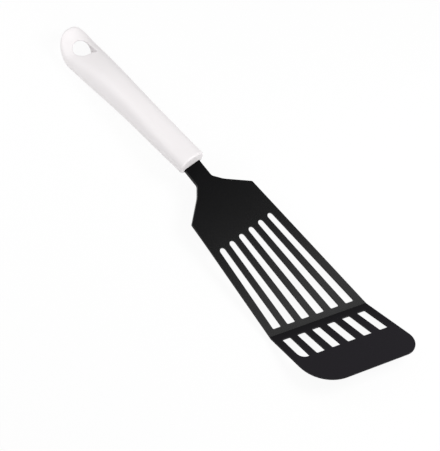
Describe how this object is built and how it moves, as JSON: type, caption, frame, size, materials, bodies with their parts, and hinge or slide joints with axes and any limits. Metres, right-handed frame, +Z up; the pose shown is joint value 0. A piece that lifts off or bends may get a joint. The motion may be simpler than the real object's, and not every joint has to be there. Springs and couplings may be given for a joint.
{
  "type": "slotted turner",
  "caption": "Kitchen spatula with a slotted, slant-bent black blade on a dropped white handle with a teardrop hang hole.",
  "frame": {"origin": "middle of the footprint, on the table it lies on, food side up", "axes": "+X forward, from the handle towards the lip; +Y to the long side of the slanted lip; +Z up, the food side"},
  "size_m": [0.3587, 0.0853, 0.0305],
  "materials": {
    "head": "matt black nylon, fine grain",
    "handle": "smooth glossy white"
  },
  "bodies": {
    "root": {"head": "head", "handle": "handle"}
  },
  "joints": []
}
